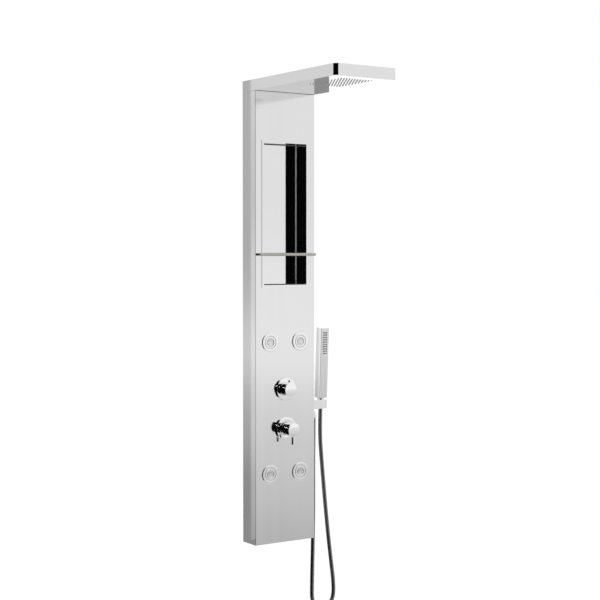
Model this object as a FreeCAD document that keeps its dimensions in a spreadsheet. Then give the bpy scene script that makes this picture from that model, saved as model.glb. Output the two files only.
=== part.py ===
"""Wall-mounted rainfall shower column: a folded steel panel with an overhead arm, niche, body jets,
mixer, diverter and a hand shower on a hose.

Frame: millimetres, +Z up, -Y out of the wall. The origin is the centre of the four wall bolts, on the
wall plane Y = 0, at half of the column's height.
"""
import FreeCAD, Part
import math
import os
import re

import Sketcher
from FreeCAD import Placement, Rotation, Vector

# ------------------------------------------------------------------ driving dimensions
SIZES = {
    # column and arm
    "column_height": 1500, "column_width": 228, "column_depth": 78, "gauge": 1.2, "edge_round": 1.2,
    "return_lip": 14, "arm_reach": 447, "arm_deep": 36, "seam": 0.5, "fascia_deep": 15, "fascia_round": 14,
    # wall fixing
    "bolt_across": 120, "bolt_up": 1280, "bolt_hole": 3.5, "bracket_plate": 2, "bracket_half": 85, "plate_gap": 2.4,
    # inner frame
    "tube_side": 12, "tube_wall": 1.5, "play": 0.2,
    # niche and rail
    "niche_wide": 164, "niche_low": 841, "niche_high": 1300, "niche_deep": 62, "niche_rim": 8,
    "rail_up": 940, "rail_out": 18, "rail_radius": 5, "rail_half": 105, "post_at": 102, "post_radius": 4,
    # body jets
    "jet_across": 116, "jet_top": 655, "jet_low": 226, "jet_flange": 31, "jet_flange_deep": 3,
    "jet_neck": 22, "jet_ring": 20, "jet_ball": 16, "jet_ball_back": 8, "jet_gap": 0.3, "jet_length": 24,
    # valves
    "diverter_up": 501, "mixer_up": 372, "rose_radius": 37.5, "rose_deep": 7.5, "spindle": 4, "fit": 0.06,
    "knob_radius": 23.5, "knob_front": 34, "knob_back": 8, "index_radius": 3.4, "index_up": 26, "index_side": 10,
    "handle_radius": 22.5, "handle_front": 52, "handle_back": 15.5, "pin_radius": 4.3, "pin_out": 45,
    "pin_reach": 49, "tilt_out": 8, "dome_radius": 18, "valve_neck": 15, "valve_half": 26,
    "valve_back": 12, "valve_front": 66, "inlet_radius": 10.48, "inlet_at": 41, "inlet_seat": 36, "inlet_end": 12,
    # rain head
    "nozzle_step": 10, "nozzle_columns": 12, "nozzle_line": 8.3, "nozzle_lines": 21, "rain_centre": 388, "nozzle_radius": 1.9,
    "nozzle_drop": 1.5, "mat_thick": 2, "mat_margin": 10, "chamber_high": 25, "chamber_wall": 2.5,
    # pipes
    "pipe_radius": 5, "pipe_bore": 4, "riser_at": 90, "riser_back": 30, "manifold_back": 36,
    # hand shower, its holder and hose
    "outlet_up": 412, "outlet_back": 40, "outlet_reach": 23, "outlet_radius": 9, "hose_nut_radius": 11.5,
    "holder_low": 425, "holder_high": 455, "holder_reach": 67, "holder_back": 26, "holder_front": 56,
    "grip_reach": 51, "grip_back": 41, "grip_lean": 3, "cone_top": 12.2, "cone_low": 9.6, "cone_down": 28,
    "grip_gap": 6, "grip_wide": 31, "grip_deep": 30, "grip_long": 235, "grip_round": 1.2, "grip_wall": 2.2,
    "spray_wide": 21, "spray_long": 77, "spray_down": 12, "spray_pitch": 7, "spray_rows": 10,
    "hose_radius": 7,
}

doc = FreeCAD.newDocument("ShowerColumn")
sizes = doc.addObject("Spreadsheet::Sheet", "Sizes")
for row, (alias, size) in enumerate(SIZES.items(), start=1):
    sizes.set("A%d" % row, alias)
    sizes.set("B%d" % row, str(size))
    sizes.setAlias("B%d" % row, alias)
doc.recompute()

NODES = {}

# places that many pieces share, as expressions over the sheet
FLOOR = "-column_height/2"
TOP = "column_height/2"
FRONT = "-column_depth"
INNER_X = "(column_width/2 - gauge)"
ARM_LOW = "(column_height/2 - arm_deep)"
ARM_END = "(-column_depth - arm_reach)"
MIXER_Z = "(mixer_up - column_height/2)"
DIVERTER_Z = "(diverter_up - column_height/2)"
JET_TOP_Z = "(jet_top - column_height/2)"
JET_LOW_Z = "(jet_low - column_height/2)"


# ------------------------------------------------------------------ helpers
def full(expression):
    """The expression with each size's name turned into its cell."""
    return re.sub(r"[a-z][a-z_]+", lambda word: "Sizes." + word.group() if word.group() in SIZES
                  else word.group(), str(expression))


def number(expression):
    """The present value of an expression."""
    return float(sizes.evalExpression(full(expression)))


def bind(item, prop, expression):
    item.setExpression(prop, full(expression))


def place(item, x, y, z):
    for axis, expression in zip("xyz", (x, y, z)):
        bind(item, "Placement.Base." + axis, expression)


def node(name, item):
    """Name the object that becomes one sub-part."""
    item.Label = name
    NODES[name] = item
    return item


def box(name, x, y, z):
    """A box from (low, high) expressions along each axis."""
    item = doc.addObject("Part::Box", name)
    for prop, (low, high) in zip(("Length", "Width", "Height"), (x, y, z)):
        bind(item, prop, "(%s) - (%s)" % (high, low))
    place(item, x[0], y[0], z[0])
    return item


def rod(name, axis, x, y, z, radius, top_radius=None):
    """A cylinder, or a cone, along axis; the coordinate along the axis is a (low, high) pair."""
    item = doc.addObject("Part::Cone" if top_radius else "Part::Cylinder", name)
    direction = {"x": Vector(1, 0, 0), "y": Vector(0, 1, 0), "z": Vector(0, 0, 1)}[axis]
    item.Placement = Placement(Vector(), Rotation(Vector(0, 0, 1), direction))
    low, high = {"x": x, "y": y, "z": z}[axis]
    bind(item, "Height", "(%s) - (%s)" % (high, low))
    bind(item, "Radius1" if top_radius else "Radius", radius)
    if top_radius:
        bind(item, "Radius2", top_radius)
    place(item, *(part[0] if isinstance(part, tuple) else part for part in (x, y, z)))
    return item


def ball(name, x, y, z, radius):
    item = doc.addObject("Part::Sphere", name)
    bind(item, "Radius", radius)
    place(item, x, y, z)
    return item


def fuse(name, *items):
    if len(items) == 1:
        return items[0]
    item = doc.addObject("Part::MultiFuse", name)
    item.Shapes = list(items)
    item.Refine = True
    return item


def cut(name, base, *tools):
    item = doc.addObject("Part::Cut", name)
    item.Base = base
    item.Tool = fuse(name + "_tools", *tools)
    item.Refine = True
    return item


def common(name, one, other):
    item = doc.addObject("Part::Common", name)
    item.Base, item.Tool = one, other
    return item


def group(name, items):
    """Several separate solids in one sub-part."""
    item = doc.addObject("Part::Compound", name)
    item.Links = items
    return item


def rounded(name, base, radius, chosen):
    """A Part::Fillet on the edges that the test picks."""
    doc.recompute()
    item = doc.addObject("Part::Fillet", name)
    item.Base = base
    item.Edges = [(index, radius, radius) for index, edge in enumerate(base.Shape.Edges, start=1)
                  if chosen(edge)]
    return item


def sketch(body, role, name, offset="0"):
    """A sketch on one of the body's own origin planes, moved along the plane's normal."""
    item = body.newObject("Sketcher::SketchObject", name)
    plane = next(part for part in body.Origin.OriginFeatures if part.Role == role)
    item.AttachmentSupport = [(plane, "")]
    item.MapMode = "FlatFace"
    bind(item, "AttachmentOffset.Base.z", offset)
    return item


def pin_point(item, geometry, point, x, y):
    """Hold a sketch point at two expressions."""
    for kind, expression in (("DistanceX", x), ("DistanceY", y)):
        index = item.addConstraint(Sketcher.Constraint(kind, geometry, point, number(expression)))
        item.setExpression("Constraints[%d]" % index, full(expression))


def outline(item, points):
    """A closed outline of straight lines through points, each a pair of expressions."""
    corners = [Vector(number(x), number(y), 0) for x, y in points]
    first = item.GeometryCount
    for start, end in zip(corners, corners[1:] + corners[:1]):
        item.addGeometry(Part.LineSegment(start, end))
    for step, (x, y) in enumerate(points):
        after = first + (step + 1) % len(points)
        item.addConstraint(Sketcher.Constraint("Coincident", first + step, 2, after, 1))
        pin_point(item, first + step, 1, x, y)


def rectangle(item, x, y):
    outline(item, [(x[0], y[0]), (x[1], y[0]), (x[1], y[1]), (x[0], y[1])])


def circle(item, x, y, radius):
    index = item.addGeometry(Part.Circle(Vector(number(x), number(y), 0), Vector(0, 0, 1), number(radius)))
    pin_point(item, index, 3, x, y)
    size = item.addConstraint(Sketcher.Constraint("Radius", index, number(radius)))
    item.setExpression("Constraints[%d]" % size, full(radius))


def pad(body, profile, name, length):
    item = body.newObject("PartDesign::Pad", name)
    item.Profile = profile
    bind(item, "Length", length)
    doc.recompute()
    return item


def pocket(body, profile, name, length):
    """A pocket that is checked to remove material."""
    doc.recompute()
    before = body.Shape.Volume
    item = body.newObject("PartDesign::Pocket", name)
    item.Profile = profile
    bind(item, "Length", length)
    doc.recompute()
    if not body.Shape.Volume < before - 1e-6:
        raise ValueError(name + " removes nothing")
    return item


def grid(body, feature, name, first, second, steps):
    """Repeat a feature along two of the body's origin axes; steps holds (length, count) pairs."""
    both = body.newObject("PartDesign::MultiTransform", name)
    both.Originals = [feature]
    patterns = []
    for role, (length, count) in zip((first, second), steps):
        pattern = body.newObject("PartDesign::LinearPattern", name + "_" + role)
        axis = next(part for part in body.Origin.OriginFeatures if part.Role == role)
        pattern.Direction = (axis, [""])
        bind(pattern, "Length", length)
        bind(pattern, "Occurrences", count)
        patterns.append(pattern)
    both.Transformations = patterns
    body.Tip = both
    doc.recompute()
    return both


def turned(name, points, x, z, y=FRONT):
    """A turned piece about an axis along Y: points are (radius, distance out of the panel's face)."""
    body = doc.addObject("PartDesign::Body", name)
    profile = sketch(body, "XY_Plane", name + "_profile")
    outline(profile, [(radius, "-(%s)" % out) for radius, out in points])
    turn = body.newObject("PartDesign::Revolution", name + "_turn")
    turn.Profile = profile
    turn.ReferenceAxis = (profile, ["V_Axis"])
    turn.Angle = 360
    place(body, x, y, z)
    return body


def piping(name, runs):
    """A hollow pipe of straight runs with mitred round corners: runs are lists of points."""
    shells, bores = [], []
    for count, points in enumerate(runs):
        for step, (start, end) in enumerate(zip(points, points[1:])):
            moving = next(axis for axis in range(3) if start[axis] != end[axis])
            low, high = sorted((start[moving], end[moving]), key=number)
            spot = [(low, high) if axis == moving else start[axis] for axis in range(3)]
            label = "%s_%d_%d" % (name, count, step)
            shells.append(rod(label + "_wall", "xyz"[moving], *spot, "pipe_radius"))
            bores.append(rod(label + "_bore", "xyz"[moving], *spot, "pipe_bore"))
            if step:
                shells.append(ball(label + "_knee", *start, "pipe_radius"))
                bores.append(ball(label + "_knee_bore", *start, "pipe_bore"))
    return cut(name, fuse(name + "_outside", *shells), *bores)


# ------------------------------------------------------------------ sheet-metal column
def column_shell():
    """Front sheet with its openings, and the two folded side sheets welded to it, each with a back lip."""
    body = doc.addObject("PartDesign::Body", "column_shell")
    half, lip = "column_width/2", "(column_width/2 - return_lip)"
    profile = sketch(body, "XY_Plane", "column_section")
    outline(profile, [("-" + half, "0"), ("-" + half, FRONT), (half, FRONT), (half, "0"), (lip, "0"),
                      (lip, "-gauge"), (INNER_X, "-gauge"), (INNER_X, "gauge - column_depth"),
                      ("-" + INNER_X, "gauge - column_depth"), ("-" + INNER_X, "-gauge"),
                      ("-" + lip, "-gauge"), ("-" + lip, "0")])
    folded = pad(body, profile, "column_fold", "column_height - arm_deep")
    place(body, "0", "0", FLOOR)

    fillet = body.newObject("PartDesign::Fillet", "column_edges")
    corners = [index for index, edge in enumerate(folded.Shape.Edges, start=1)
               if abs(abs(edge.CenterOfMass.x) - number(half)) < 1e-3
               and abs(edge.CenterOfMass.y - number(FRONT)) < 1e-3
               and edge.BoundBox.ZLength > 1]
    fillet.Base = (folded, ["Edge%d" % index for index in corners])
    bind(fillet, "Radius", "edge_round")

    front = sketch(body, "XZ_Plane", "front_openings", "column_depth")
    rim = "(niche_wide/2 + gauge + play)"
    rectangle(front, ("-" + rim, rim), ("niche_low - gauge - play", "niche_high + gauge + play"))
    for side in ("-", ""):
        for level in ("jet_top", "jet_low"):
            circle(front, side + "jet_across/2", level, "jet_neck + play")
        circle(front, side + "post_at", "rail_up", "2.6")
    circle(front, "0", "diverter_up", "valve_neck + play")
    circle(front, "0", "mixer_up", "dome_radius + play")
    pocket(body, front, "front_cut", "4*gauge")

    flank = sketch(body, "YZ_Plane", "side_openings", "column_width/2")
    circle(flank, "-outlet_back", "outlet_up", "outlet_radius + play")
    for shift in ("-9", "9"):
        circle(flank, "-grip_back + %s" % shift, "(holder_low + holder_high)/2", "2.2")
    pocket(body, flank, "side_cut", "4*gauge")

    seam_at = "(%s - edge_round - 1)" % half
    deep = (FRONT + " - 1", FRONT + " + gauge + 1")
    tall = (FLOOR + " - 1", TOP)
    front_zone = box("front_zone", ("-" + seam_at, seam_at), deep, tall)
    node("column_front", common("column_front", body, front_zone))
    side_zone = box("side_zone", ("-" + seam_at, seam_at), deep, tall)
    node("column_sides", cut("column_sides", body, side_zone))


def sheet_covers():
    """The arm's cover and end, the column's bottom cap and their screws."""
    half = "column_width/2"
    low = "%s + seam" % ARM_LOW
    inside = "(%s + fascia_deep)" % ARM_END
    outer = box("arm_cover_block", ("-" + half, half), (inside, "0"), (low, TOP))
    hollow = box("arm_cover_hollow", ("-" + INNER_X, INNER_X), (inside + " - 1", "-gauge"),
                 (low + " - 1", TOP + " - gauge"))
    node("arm_cover", cut("arm_cover", outer, hollow))

    bar = box("fascia_bar", ("-" + half, half), (ARM_END, inside), (ARM_LOW, TOP))
    corners = rounded("fascia_corners", bar, number("fascia_round"),
                      lambda edge: edge.BoundBox.ZLength > 1 and edge.CenterOfMass.y < number(ARM_END) + 1)
    doc.recompute()
    soft = rounded("fascia_soft", corners, number("fascia_deep/6"),
                   lambda edge: edge.BoundBox.ZLength < 1e-3
                   and edge.BoundBox.YMin < number(ARM_END) + number("fascia_round") + 0.1
                   and edge.BoundBox.YMax < number(inside) - 0.1)
    core = box("fascia_core", ("-%s + 8" % half, half + " - 8"), (ARM_END + " + 5", inside + " + 1"),
               (ARM_LOW + " + 4", TOP + " - 4"))
    node("head_fascia", cut("head_fascia", soft, core))

    slack = "(%s - play)" % INNER_X
    tray = box("cap_tray", ("-" + slack, slack), ("gauge + play - column_depth", "-gauge - play"),
               (FLOOR, FLOOR + " + 14"))
    inner = box("cap_inside", ("gauge - " + slack, slack + " - gauge"),
                ("2*gauge + play - column_depth", "-2*gauge - play"), (FLOOR + " + gauge", FLOOR + " + 15"))
    node("bottom_cap", cut("bottom_cap", tray, inner))


def niche():
    """Five-sided steel niche with a flat rim on the panel, its drain lip and the rail in front of it."""
    half, rim = "niche_wide/2", "(niche_wide/2 + niche_rim)"
    face = "(-column_depth - gauge)"
    low, high = "(niche_low - column_height/2)", "(niche_high - column_height/2)"
    back = "(niche_deep - column_depth)"
    wide, lowest, highest = half + " + gauge", low + " - gauge", high + " + gauge"
    inside = (face, back)
    sheets = [box("niche_back", ("-" + half + " - gauge", wide), (back, back + " + gauge"), (lowest, highest)),
              box("niche_left", ("-" + half + " - gauge", "-" + half), inside, (lowest, highest)),
              box("niche_right", (half, wide), inside, (lowest, highest)),
              box("niche_floor", ("-" + half, half), inside, (lowest, low)),
              box("niche_ceiling", ("-" + half, half), inside, (high, highest)),
              box("niche_rim_left", ("-" + rim, "-" + half + " - gauge"), (face, FRONT), (lowest, highest)),
              box("niche_rim_right", (wide, rim), (face, FRONT), (lowest, highest)),
              box("niche_rim_low", ("-" + rim, rim), (face, FRONT), (low + " - niche_rim", lowest)),
              box("niche_rim_high", ("-" + rim, rim), (face, FRONT), (highest, high + " + niche_rim"))]
    node("niche_box", group("niche_box", sheets))

    height, out = "(rail_up - column_height/2)", "(-column_depth - rail_out)"
    seat = "(%s + rail_radius - 2)" % out
    posts, screws, sockets = [], [], []
    for side, sign in (("left", "-"), ("right", "")):
        spot = sign + "post_at"
        post = rod("post_%s_rod" % side, "y", spot, (seat, FRONT), height, "post_radius")
        bore = rod("post_%s_bore" % side, "y", spot, (FRONT + " - 8", FRONT), height, "2.5")
        posts.append(cut("post_" + side, post, bore))
        sockets.append(rod("rail_socket_" + side, "y", spot, (seat, FRONT), height, "post_radius"))
        shank = rod("rail_screw_shank_" + side, "y", spot, (FRONT + " - 8", FRONT + " + gauge"), height, "2.5")
        head = rod("rail_screw_head_" + side, "y", spot, (FRONT + " + gauge", FRONT + " + gauge + 3"),
                   height, "4.6")
        screws.append(fuse("rail_screw_" + side, shank, head))
    bar = rod("rail_bar", "x", ("-rail_half", "rail_half"), out, height, "rail_radius")
    node("guard_rail", cut("guard_rail", bar, *sockets))
    node("rail_posts", group("rail_posts", posts))
    return screws


# ------------------------------------------------------------------ inner frame and wall brackets
def square_tube(name, axis, x, y, z):
    outer = box(name + "_bar", x, y, z)
    spans = [span if place_axis == axis else ("%s + tube_wall" % span[0], "%s - tube_wall" % span[1])
             for place_axis, span in zip("xyz", (x, y, z))]
    return cut(name, outer, box(name + "_bore", *spans))


def frame():
    """Tubes behind the sheet carry the panel; cleats on the cross bars hook over the wall brackets."""
    far, near = "(%s - play)" % INNER_X, "(%s - play - tube_side)" % INNER_X
    back = "(-gauge - play)"
    top = "(%s - gauge - play)" % TOP
    uprights, arms, gussets = [], [], []
    for side in ("left", "right"):
        span = ("-" + far, "-" + near) if side == "left" else (near, far)
        uprights.append(square_tube("upright_" + side, "z", span, (back + " - tube_side", back),
                                    (FLOOR + " + 16", top)))
        arms.append(square_tube("arm_bar_" + side, "y", span,
                                (ARM_END + " + fascia_deep + 1", back + " - tube_side"),
                                (top + " - 20", top)))
        wall = ("-%s" % near, "-%s + 2" % near) if side == "left" else (near + " - 2", near)
        block = box("gusset_block_" + side, wall, ("-70", back), (top + " - 95", top))
        relief = rod("gusset_relief_" + side, "x", (wall[0] + " - 1", wall[1] + " + 1"), "-78",
                     top + " - 95", "60")
        gussets.append(cut("gusset_" + side, block, relief))
    node("frame_tubes", group("frame_tubes", uprights + arms))
    node("frame_gussets", group("frame_gussets", gussets))

    plate, reach = "bracket_plate", "bracket_half"
    brackets, bars = [], []
    for place_name, sign, inner in (("upper", "", near + " - 2"), ("lower", "-", near)):
        centre = "%sbolt_up/2" % sign
        flange = box(place_name + "_flange", ("-" + reach, reach), ("-" + plate, "0"),
                     (centre + " - 20", centre + " + 20"))
        step = box(place_name + "_step", ("-" + reach, reach), ("-%s - 8" % plate, "0"),
                   (centre + " + 18", centre + " + 20"))
        lip = box(place_name + "_lip", ("-" + reach, reach), ("-%s - 8" % plate, "-%s - 6" % plate),
                  (centre + " + 18", centre + " + 36"))
        holes = [rod("%s_hole_%s" % (place_name, name), "y", "%sbolt_across/2" % turn,
                     ("-%s - 1" % plate, "1"), centre, "bolt_hole")
                 for name, turn in (("left", "-"), ("right", ""))]
        brackets.append(cut(place_name + "_bracket", fuse(place_name + "_folded", flange, step, lip), *holes))
        bar = box(place_name + "_bar", ("-(%s)" % inner, inner), ("-14", "-plate_gap"),
                  (centre + " + 37", centre + " + 49"))
        cleat = box(place_name + "_cleat", ("-" + reach, reach), ("-7.5", "-plate_gap"),
                    (centre + " + 21", centre + " + 38"))
        bars.append(fuse(place_name + "_cross_bar", bar, cleat))
    node("wall_brackets", group("wall_brackets", brackets))
    node("cross_bars", group("cross_bars", bars))


# ------------------------------------------------------------------ body jets
def jets():
    """Four ball jets: a flanged housing in the panel, a ring that turns in it and a ball that tilts."""
    housings, nuts, washers = [], [], []
    spots = [(place_name, side, "%sjet_across/2" % sign, level)
             for place_name, level in (("upper", JET_TOP_Z), ("lower", JET_LOW_Z))
             for side, sign in (("left", "-"), ("right", ""))]
    for place_name, side, x, z in spots:
        name = "%s_%s" % (place_name, side)
        bore = "(jet_ring + jet_gap)"
        housings.append(turned("jet_housing_" + name, [
            (bore, "jet_flange_deep"), (bore, "-20"), ("pipe_bore", "-22"), ("pipe_bore", "-jet_length - 8"),
            ("pipe_radius + 1.5", "-jet_length - 8"), ("pipe_radius + 1.5", "-jet_length"),
            ("jet_neck", "-jet_length"), ("jet_neck", "0"), ("jet_flange", "0"),
            ("jet_flange", "jet_flange_deep - 1"), ("jet_flange - 1", "jet_flange_deep")], x, z))
        nuts.append(turned("jet_nut_" + name, [
            ("jet_neck", "-gauge - 1.5"), ("jet_neck", "-gauge - 8"), ("jet_neck + 5", "-gauge - 8"),
            ("jet_neck + 5", "-gauge - 1.5")], x, z))
        washers.append(turned("jet_washer_" + name, [
            ("jet_neck", "-gauge"), ("jet_neck", "-gauge - 1.5"), ("jet_neck + 6", "-gauge - 1.5"),
            ("jet_neck + 6", "-gauge")], x, z))

        centre = "(jet_ball_back - column_depth)"
        front = "(-column_depth - jet_flange_deep - 0.4)"
        blank = rod("swivel_blank_" + name, "y", x, (front, centre + " + 7"), z, "jet_ring")
        seat = ball("swivel_seat_" + name, x, centre, z, "jet_ball + jet_gap")
        node("swivel_ring_" + name, cut("swivel_ring_" + name, blank, seat))

        sphere = ball("ball_sphere_" + name, x, centre, z, "jet_ball")
        zone = rod("ball_zone_" + name, "y", x, (centre + " - jet_ball + 5.5", centre + " + 7"), z, "jet_ball + 1")
        turret = common("ball_turret_" + name, sphere, zone)
        face = centre + " - jet_ball + 5.5"
        water = rod("ball_bore_" + name, "y", x, (face + " + 4", centre + " + 8"), z, "10")
        sockets = []
        for ring, count in ((4.2, 6), (8.4, 12)):
            for step in range(count):
                angle = 2 * math.pi * step / count
                px = "%s + %.4f" % (x, ring * math.cos(angle))
                pz = "%s + %.4f" % (z, ring * math.sin(angle))
                label = "%s_%d_%d" % (name, count, step)
                sockets.append(rod("tip_hole_" + label, "y", px, (face + " - 1", face + " + 3"), pz, "0.9"))
        node("jet_ball_" + name, cut("jet_ball_" + name, turret, water, *sockets))
    node("jet_housings", group("jet_housings", housings))
    node("jet_nuts", group("jet_nuts", nuts))
    node("jet_washers", group("jet_washers", washers))


# ------------------------------------------------------------------ valves
def diverter():
    """Four-way diverter: brass body, cartridge, ring nut, rose with its index mark, spindle and knob."""
    z = DIVERTER_Z
    block = box("diverter_block", ("-valve_half", "valve_half"), ("-valve_front", "-valve_back"),
                (z + " - valve_half", z + " + valve_half"))
    neck = rod("diverter_neck", "y", "0", (FRONT + " - 4", "-valve_front + 1"), z, "valve_neck")
    ports = [rod("diverter_port_in", "z", "0", "-manifold_back", (z + " - valve_half - 10", z), "8"),
             rod("diverter_port_rain", "z", "-15", "-riser_back", (z, z + " + valve_half + 8"), "8"),
             rod("diverter_port_jets", "z", "15", "-manifold_back", (z, z + " + valve_half + 8"), "8"),
             rod("diverter_port_low", "x", ("-valve_half - 8", "0"), "-riser_back", z, "8"),
             rod("diverter_port_hand", "x", ("0", "valve_half + 8"), "-outlet_back", z, "8")]
    seat = rod("diverter_seat", "y", "0", (FRONT + " - 5", "-40"), z, "12")
    node("diverter_body", cut("diverter_body", fuse("diverter_outside", block, neck, *ports), seat))
    barrel = rod("diverter_barrel", "y", "0", (FRONT + " - 2", "-40"), z, "12")
    socket = rod("diverter_socket", "y", "0", (FRONT + " - 3", "-50"), z, "spindle + fit")
    node("diverter_cartridge", cut("diverter_cartridge", barrel, socket))
    node("diverter_ring_nut", turned("diverter_ring_nut", [
        ("valve_neck", "0"), ("valve_neck", "4"), ("valve_neck + 5.5", "4"), ("valve_neck + 6", "3.5"),
        ("valve_neck + 6", "0")], "0", z))

    plate = turned("diverter_rose_plate", [
        ("valve_neck + 7", "0"), ("rose_radius", "0"), ("rose_radius", "rose_deep - 1.4"),
        ("rose_radius - 1.4", "rose_deep"), ("spindle + 2", "rose_deep"), ("spindle + 2", "rose_deep - 1.4"),
        ("valve_neck + 7", "rose_deep - 1.4")], "0", z)
    index_z = "%s + index_up" % z
    hole = rod("index_hole", "y", "index_side", (FRONT + " - rose_deep - 1", FRONT + " - rose_deep + 0.8"), index_z,
               "index_radius")
    node("diverter_rose", cut("diverter_rose", plate, hole))
    node("diverter_index", rod("diverter_index", "y", "index_side",
                               (FRONT + " - rose_deep", FRONT + " - rose_deep + 0.8"), index_z, "index_radius"))

    node("diverter_spindle", rod("diverter_spindle", "y", "0", (FRONT + " - 24", "-52"), z, "spindle"))
    knob = turned("diverter_knob_turned", [
        ("0", "24"), ("spindle", "24"), ("spindle", "10"), ("9", "10"), ("9", "24"),
        ("knob_radius - 3", "26"), ("knob_radius - 3", "knob_back"), ("knob_radius", "knob_back"),
        ("knob_radius", "knob_front - 1"), ("knob_radius - 1", "knob_front"), ("0", "knob_front")], "0", z)
    screw_y = FRONT + " - 16"
    way = rod("diverter_screw_way", "z", "0", screw_y, (z + " - knob_radius - 1", z + " - spindle"), "2")
    node("diverter_knob", cut("diverter_knob", knob, way))
    node("diverter_grub_screw", rod("diverter_grub_screw", "z", "0", screw_y,
                                    (z + " - spindle - 6", z + " - spindle"), "2"))


def mixer():
    """Single-lever mixer: its carrier turns for temperature and the handle tilts on it for flow."""
    z = MIXER_Z
    drum = rod("mixer_drum", "y", "0", ("-valve_front", "-valve_back"), z, "valve_half")
    arms = rod("mixer_arms", "x", ("-inlet_at", "inlet_at"), "-inlet_seat - 10", z, "9")
    inlets = []
    for side, spot in (("hot", "-inlet_at"), ("cold", "inlet_at")):
        inlets.append(rod("inlet_boss_" + side, "y", spot, ("-inlet_seat - 20", "-inlet_seat"), z, "14"))
        inlets.append(rod("inlet_thread_" + side, "y", spot, ("-inlet_seat - 2", "-inlet_end"), z,
                          "inlet_radius"))
    outlet = rod("mixer_outlet", "z", "0", "-manifold_back", (z, z + " + valve_half + 12"), "8")
    neck = rod("mixer_neck", "y", "0", (FRONT + " - 2", "-valve_front + 1"), z, "dome_radius - 0.5")
    seat = rod("mixer_seat", "y", "0", (FRONT + " - 3", "-35"), z, "14")
    node("mixer_body", cut("mixer_body", fuse("mixer_outside", drum, arms, outlet, neck, *inlets), seat))
    barrel = rod("mixer_barrel", "y", "0", (FRONT, "-35"), z, "14")
    well = rod("mixer_well", "y", "0", (FRONT + " - 1", FRONT + " + 12"), z, "10 + fit")
    node("mixer_cartridge", cut("mixer_cartridge", barrel, well))

    node("mixer_rose", turned("mixer_rose", [
        ("dome_radius + 1.5", "0"), ("rose_radius", "0"), ("rose_radius", "rose_deep - 1.4"),
        ("rose_radius - 1.4", "rose_deep"), ("dome_radius", "rose_deep"), ("dome_radius", "rose_deep - 1.4"),
        ("dome_radius + 1.5", "rose_deep - 1.4")], "0", z))
    pivot = "(-column_depth - tilt_out)"
    zone = rod("dome_zone", "y", "0", (pivot + " - 11", FRONT + " - 2"), z, "dome_radius + 2")
    shell = cut("dome_shell", ball("dome_outer", "0", pivot, z, "dome_radius - play"),
                ball("dome_inner", "0", pivot, z, "dome_radius - 2"))
    node("mixer_dome", common("mixer_dome", shell, zone))

    root = rod("carrier_root", "y", "0", (FRONT + " - 2", FRONT + " + 11.5"), z, "10")
    ears = [box("carrier_ear_" + side, span, (pivot + " - 4.5", FRONT + " - 1"), (z + " - 4.5", z + " + 4.5"))
            for side, span in (("left", ("-8", "-4.3")), ("right", ("4.3", "8")))]
    eye = rod("carrier_eye", "x", ("-9", "9"), pivot, z, "2")
    node("mixer_carrier", cut("mixer_carrier", fuse("carrier_fork", root, *ears), eye))
    node("mixer_pivot_pin", rod("mixer_pivot_pin", "x", ("-8", "8"), pivot, z, "2"))

    tongue = box("tongue_flat", ("-4", "4"), (pivot + " - 16", pivot), (z + " - 4", z + " + 4"))
    nose = rod("tongue_nose", "x", ("-4", "4"), pivot, z, "4")
    stem = rod("tongue_stem", "y", "0", (FRONT + " - handle_front + 6", pivot + " - 14"), z, "5")
    bearing = rod("tongue_eye", "x", ("-5", "5"), pivot, z, "2 + fit")
    node("mixer_spindle", cut("mixer_spindle", fuse("tongue", tongue, nose, stem), bearing))
    knob = turned("mixer_handle_turned", [
        ("0", "handle_front - 6"), ("5", "handle_front - 6"), ("5", "handle_front - 20"),
        ("10", "handle_front - 20"), ("dome_radius + 1", "handle_front - 21"),
        ("dome_radius + 1", "handle_back"), ("handle_radius - 0.8", "handle_back"),
        ("handle_radius", "handle_back + 0.8"), ("handle_radius", "handle_front - 1"),
        ("handle_radius - 1", "handle_front"), ("0", "handle_front")], "0", z)
    pin_y = FRONT + " - pin_out"
    socket = rod("pin_socket", "z", "0", pin_y, (z + " - handle_radius - 1", z + " - 12"), "pin_radius")
    way = rod("mixer_screw_way", "z", "0", FRONT + " - 36", (z + " - handle_radius - 1", z + " - 5"), "2")
    node("mixer_handle", cut("mixer_handle", knob, socket, way))
    node("mixer_grub_screw", rod("mixer_grub_screw", "z", "0", FRONT + " - 36", (z + " - 11", z + " - 5"), "2"))
    pin = rod("lever_pin_rod", "z", "0", pin_y, (z + " - pin_reach", z + " - 12"), "pin_radius")
    node("lever_pin", rounded("lever_pin", pin, 0.8, lambda edge: edge.CenterOfMass.z < number(z + " - pin_reach") + 0.1
                              and edge.Closed))


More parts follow.
